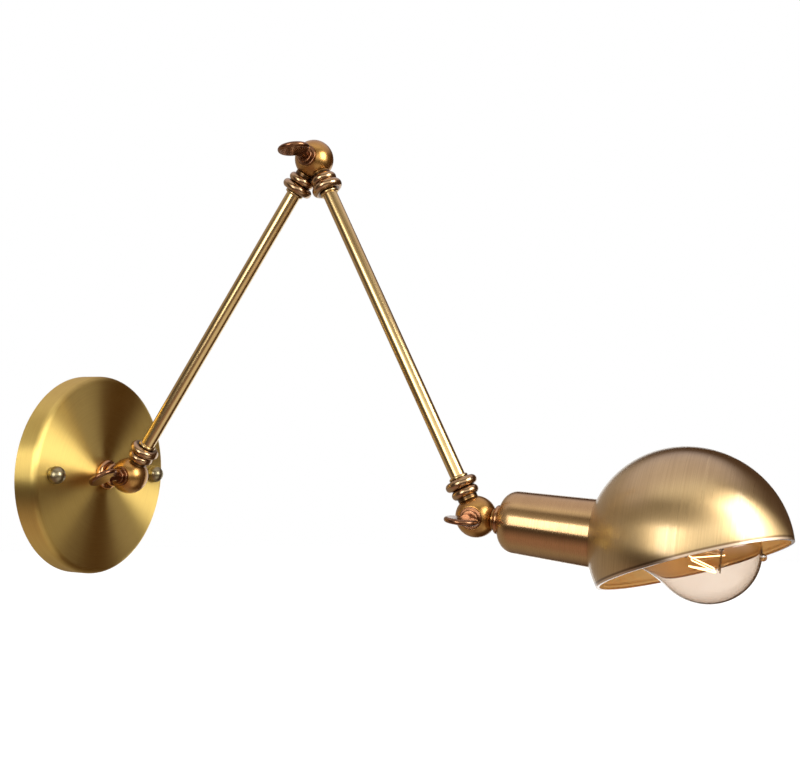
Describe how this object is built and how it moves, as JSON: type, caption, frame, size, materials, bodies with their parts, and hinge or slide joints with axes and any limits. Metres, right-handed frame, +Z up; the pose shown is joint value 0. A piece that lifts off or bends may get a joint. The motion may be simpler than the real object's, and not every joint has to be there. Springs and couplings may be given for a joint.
{
  "type": "extendable wall lamp",
  "caption": "Swing-arm wall lamp: round wall plate, jointed tube arms on split-ball knuckles with thumb screws, and a domed side-entry shade over a globe bulb.",
  "frame": {"origin": "middle of the wall strap's two screw slots, on the wall surface", "axes": "+Y into the wall, so the lamp reaches out along -Y; +Z up; +X along the knuckle pivots, away from the thumb screws"},
  "size_m": [0.14, 0.4758, 0.2949],
  "materials": {
    "brushed_brass": "antique brass, circular brushed",
    "tube_brass": "antique brass, polished along its length",
    "aged_bronze": "dark aged brass, polished",
    "bead_brass": "dark aged brass, turned and polished",
    "nut_brass": "pale polished brass",
    "zinc_steel": "zinc plated",
    "green_steel": "green lacquered",
    "fibre": "dark vulcanised fibre",
    "phenolic": "moulded black phenolic",
    "contact_brass": "bright sheet brass",
    "cap_nickel": "nickel plated",
    "bulb_glass": "clear amber tinted glass",
    "black_glass": "black vitrite",
    "bulb_wire": "nickel wire",
    "filament": "carbon thread, pale gold"
  },
  "bodies": {
    "wall_base": {"wall_plate": "brushed_brass", "wall_strap": "zinc_steel", "plate_studs": "zinc_steel", "ball_nuts": "nut_brass", "earth_screw": "green_steel", "shoulder_wall_half": "aged_bronze", "wall_bead": "aged_bronze", "wall_collar": "aged_bronze", "stem_washer": "zinc_steel", "stem_locknut": "zinc_steel"},
    "lower_arm": {"lower_arm_tube": "tube_brass", "shoulder_arm_half": "aged_bronze", "elbow_lower_half": "aged_bronze", "shoulder_washer": "fibre", "lower_arm_bottom_near_bead": "bead_brass", "lower_arm_bottom_far_bead": "bead_brass", "lower_arm_bottom_ferrule": "bead_brass", "lower_arm_top_near_bead": "bead_brass", "lower_arm_top_far_bead": "bead_brass", "lower_arm_top_ferrule": "bead_brass"},
    "upper_arm": {"upper_arm_tube": "tube_brass", "elbow_upper_half": "aged_bronze", "head_arm_half": "aged_bronze", "elbow_washer": "fibre", "upper_arm_bottom_near_bead": "bead_brass", "upper_arm_bottom_far_bead": "bead_brass", "upper_arm_bottom_ferrule": "bead_brass", "upper_arm_top_near_bead": "bead_brass", "upper_arm_top_far_bead": "bead_brass", "upper_arm_top_ferrule": "bead_brass"},
    "lamp_head": {"head_lamp_half": "aged_bronze", "head_bead": "aged_bronze", "head_locknut": "zinc_steel", "head_washer": "fibre", "socket_cup": "brushed_brass", "holder_body": "phenolic", "holder_shell": "contact_brass", "holder_contact": "contact_brass", "shade": "brushed_brass", "shade_ring": "phenolic"},
    "bulb": {"bulb_glass": "bulb_glass", "bulb_cap": "cap_nickel", "bulb_cap_insulator": "black_glass", "bulb_cap_contact": "contact_brass", "bulb_mount": "bulb_glass", "bulb_wires": "bulb_wire", "bulb_leads": "bulb_wire", "bulb_filament": "filament"},
    "shoulder_screw": {"shoulder_thumb_screw": "aged_bronze"},
    "elbow_screw": {"elbow_thumb_screw": "aged_bronze"},
    "head_screw": {"head_thumb_screw": "aged_bronze"}
  },
  "joints": [
    {"name": "shoulder_tilt", "type": "hinge", "parent": "wall_base", "child": "lower_arm", "pos_m": [0, -0.0385, 0], "axis": [-1, 0, 0], "range_deg": [-146, 34]},
    {"name": "elbow_fold", "type": "hinge", "parent": "lower_arm", "child": "upper_arm", "pos_m": [0, -0.18165, 0.21223], "axis": [-1, 0, 0], "range_deg": [0, 150]},
    {"name": "head_tilt", "type": "hinge", "parent": "upper_arm", "child": "lamp_head", "pos_m": [0, -0.29548, -0.01707], "axis": [-1, 0, 0], "range_deg": [-110, 50]},
    {"name": "shoulder_screw_turn", "type": "hinge", "parent": "lower_arm", "child": "shoulder_screw", "pos_m": [0, -0.0385, 0], "axis": [-1, 0, 0], "continuous": true},
    {"name": "elbow_screw_turn", "type": "hinge", "parent": "lower_arm", "child": "elbow_screw", "pos_m": [0, -0.18165, 0.21223], "axis": [-1, 0, 0], "continuous": true},
    {"name": "head_screw_turn", "type": "hinge", "parent": "upper_arm", "child": "head_screw", "pos_m": [0, -0.29548, -0.01707], "axis": [-1, 0, 0], "continuous": true},
    {"name": "bulb_turn", "type": "hinge", "parent": "lamp_head", "child": "bulb", "pos_m": [0, -0.29548, -0.01707], "axis": [0, -0.996, -0.0889], "continuous": true}
  ]
}
